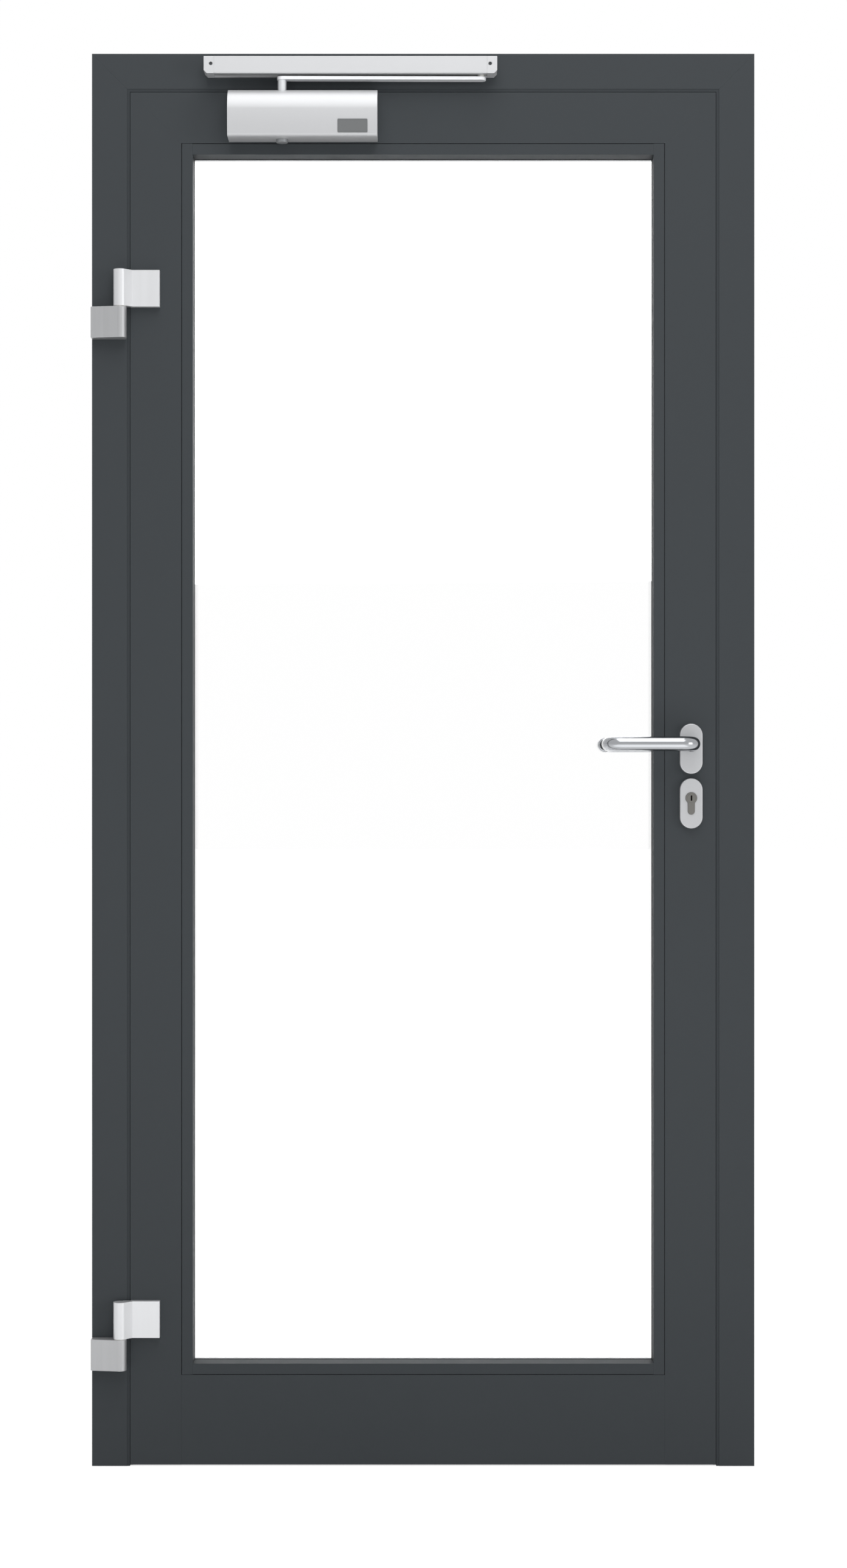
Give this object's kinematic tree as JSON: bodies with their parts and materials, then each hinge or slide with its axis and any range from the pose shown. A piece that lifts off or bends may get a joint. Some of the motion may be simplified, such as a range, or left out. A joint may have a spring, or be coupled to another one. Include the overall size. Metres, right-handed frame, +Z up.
{
  "type": "glass door",
  "caption": "Glazed metal-framed door in its own frame, with surface hinges, a slide-rail closer, tube lever handles and a cylinder lock; the leaf swings open.",
  "frame": {"origin": "bottom centre of the frame: half way across its width, half way through its depth, at the level of the floor", "axes": "+X along the width towards the lock side, -Y out of the face that carries hinges and closer, +Z up along the height"},
  "size_m": [0.99, 0.185, 2.11],
  "materials": {
    "frame_paint": "dark grey powder coat, matt",
    "bare_aluminium": "mill finish",
    "seal_rubber": "matt",
    "seal_grey": "matt dark grey",
    "setting_plastic": "matt",
    "pane_glass": "clear float glass",
    "hinge_metal": "satin anodised",
    "bush_plastic": "matt",
    "steel": "zinc plated and satin",
    "closer_silver": "silver lacquer, satin",
    "closer_casting": "cast",
    "badge_grey": "satin grey",
    "lever_polish": "mirror polished",
    "rosette_satin": "fine satin",
    "cylinder_metal": "matt nickel"
  },
  "bodies": {
    "frame": {"frame_jamb_left": "frame_paint", "frame_jamb_right": "frame_paint", "frame_head": "frame_paint", "frame_corner_cleats": "bare_aluminium", "frame_inner_seal": "seal_grey", "frame_outer_seal": "seal_grey", "strike_plate": "steel", "strike_screws": "steel", "hinge_lower_frame_half": "hinge_metal", "hinge_upper_frame_half": "hinge_metal", "hinge_pins": "steel", "hinge_frame_bolts": "steel", "closer_rail": "closer_silver", "rail_cap_left": "closer_silver", "rail_cap_right": "closer_silver", "rail_screws": "steel"},
    "leaf": {"leaf_stile_left": "frame_paint", "leaf_stile_right": "frame_paint", "leaf_top_rail": "frame_paint", "leaf_bottom_rail": "frame_paint", "leaf_corner_cleats": "bare_aluminium", "bottom_seal": "seal_rubber", "glass_pane_front": "pane_glass", "glass_pane_back": "pane_glass", "glass_spacer": "bare_aluminium", "bead_left": "frame_paint", "bead_right": "frame_paint", "bead_top": "frame_paint", "bead_bottom": "frame_paint", "glazing_gasket_front": "seal_rubber", "glazing_gasket_back": "seal_rubber", "setting_blocks": "setting_plastic", "hinge_lower_leaf_half": "hinge_metal", "hinge_upper_leaf_half": "hinge_metal", "hinge_bushes": "bush_plastic", "hinge_leaf_bolts": "steel", "closer_plate": "steel", "closer_body": "closer_casting", "closer_cover": "closer_silver", "closer_badge": "badge_grey", "closer_screws": "steel", "lock_case": "steel", "lock_forend": "steel", "forend_screws": "steel", "lock_cylinder": "cylinder_metal", "rosette_handle_front": "rosette_satin", "rosette_handle_back": "rosette_satin", "rosette_cylinder_front": "rosette_satin", "rosette_cylinder_back": "rosette_satin"},
    "closer_arm": {"closer_spindle": "steel", "closer_arm": "closer_silver"},
    "slider": {"rail_slider": "bush_plastic"},
    "levers": {"lever_front": "lever_polish", "lever_back": "lever_polish", "lever_spindle": "steel", "lock_follower": "steel"},
    "latch": {"latch_bolt": "steel"},
    "key_plug": {"cylinder_plugs": "cylinder_metal", "cylinder_cam": "cylinder_metal"},
    "deadbolt": {"deadbolt": "steel"}
  },
  "joints": [
    {"name": "leaf_swing", "type": "hinge", "parent": "frame", "child": "leaf", "pos_m": [-0.4515, -0.0475, 1.055], "axis": [0, 0, -1], "range_deg": [0, 90], "stiffness_Nm_per_rad": 8, "springref_deg": -57.3},
    {"name": "closer_arm_turn", "type": "hinge", "parent": "leaf", "child": "closer_arm", "pos_m": [-0.21, -0.0495, 2.06], "axis": [0, 0, 1], "range_deg": [0, 145]},
    {"name": "slider_slide", "type": "slide", "parent": "frame", "child": "slider", "axis": [1, 0, 0], "range_m": [-0.3775, 0]},
    {"name": "lever_press", "type": "hinge", "parent": "leaf", "child": "levers", "pos_m": [0.4, 0, 1.0785], "axis": [0, -1, 0], "range_deg": [0, 40], "stiffness_Nm_per_rad": 1.5, "springref_deg": -22.92},
    {"name": "latch_slide", "type": "slide", "parent": "leaf", "child": "latch", "axis": [-1, 0, 0], "range_m": [0, 0.0115]},
    {"name": "key_turn", "type": "hinge", "parent": "leaf", "child": "key_plug", "pos_m": [0.4, 0, 0.998], "axis": [0, 1, 0], "range_deg": [0, 360]},
    {"name": "deadbolt_throw", "type": "slide", "parent": "leaf", "child": "deadbolt", "axis": [1, 0, 0], "range_m": [0, 0.02]}
  ],
  "couplings": [
    {"joint": "closer_arm_turn", "follows": "leaf_swing", "ratio": 1.6043},
    {"joint": "slider_slide", "follows": "leaf_swing", "m_per_rad": -0.23516},
    {"joint": "latch_slide", "follows": "lever_press", "m_per_rad": 0.01647},
    {"joint": "key_turn", "follows": "deadbolt_throw", "rad_per_m": 314.15}
  ]
}
